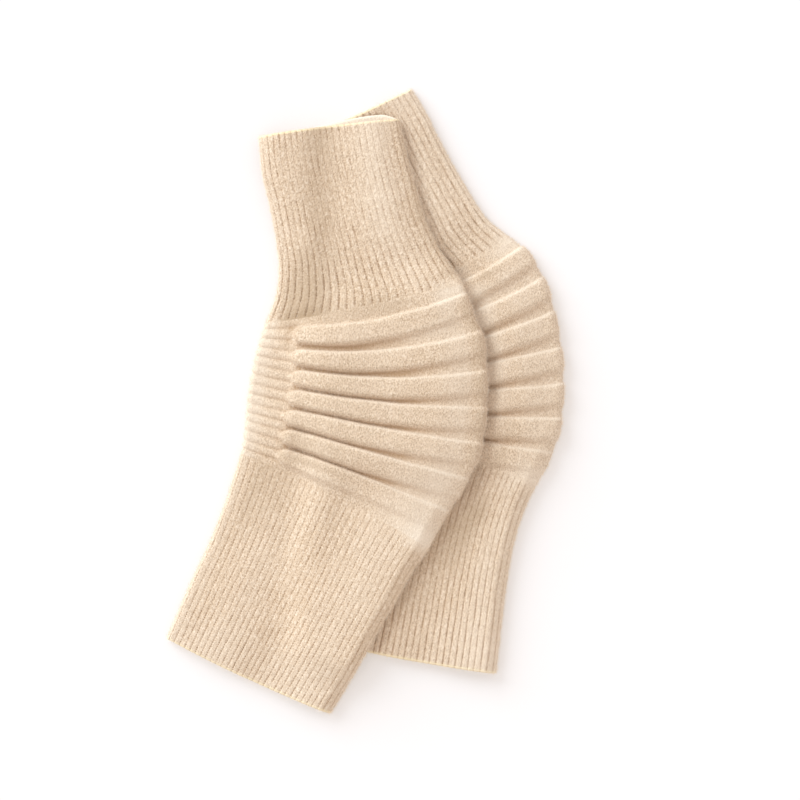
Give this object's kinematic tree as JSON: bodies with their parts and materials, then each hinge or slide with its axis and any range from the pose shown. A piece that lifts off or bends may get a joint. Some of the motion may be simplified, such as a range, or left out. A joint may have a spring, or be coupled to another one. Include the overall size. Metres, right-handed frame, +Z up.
{
  "type": "pair of knee warmers",
  "caption": "Pair of soft ribbed knit knee warmers laid flat, one partly over the other, each a bent tube with raised ridges across the knee.",
  "frame": {"origin": "middle of the pair's outline on the surface that it lies on", "axes": "+Z up from the surface, +Y towards the narrow cuffs, +X towards the knee caps, where both warmers bulge"},
  "size_m": [0.2586, 0.4074, 0.0248],
  "materials": {
    "knit": "brushed wool and cashmere knit, matt"
  },
  "bodies": {
    "root": {"lower_narrow_cuff": "knit", "lower_knee_ridges": "knit", "lower_knee_back": "knit", "lower_wide_cuff": "knit", "upper_narrow_cuff": "knit", "upper_knee_ridges": "knit", "upper_knee_back": "knit", "upper_wide_cuff": "knit"}
  },
  "joints": []
}
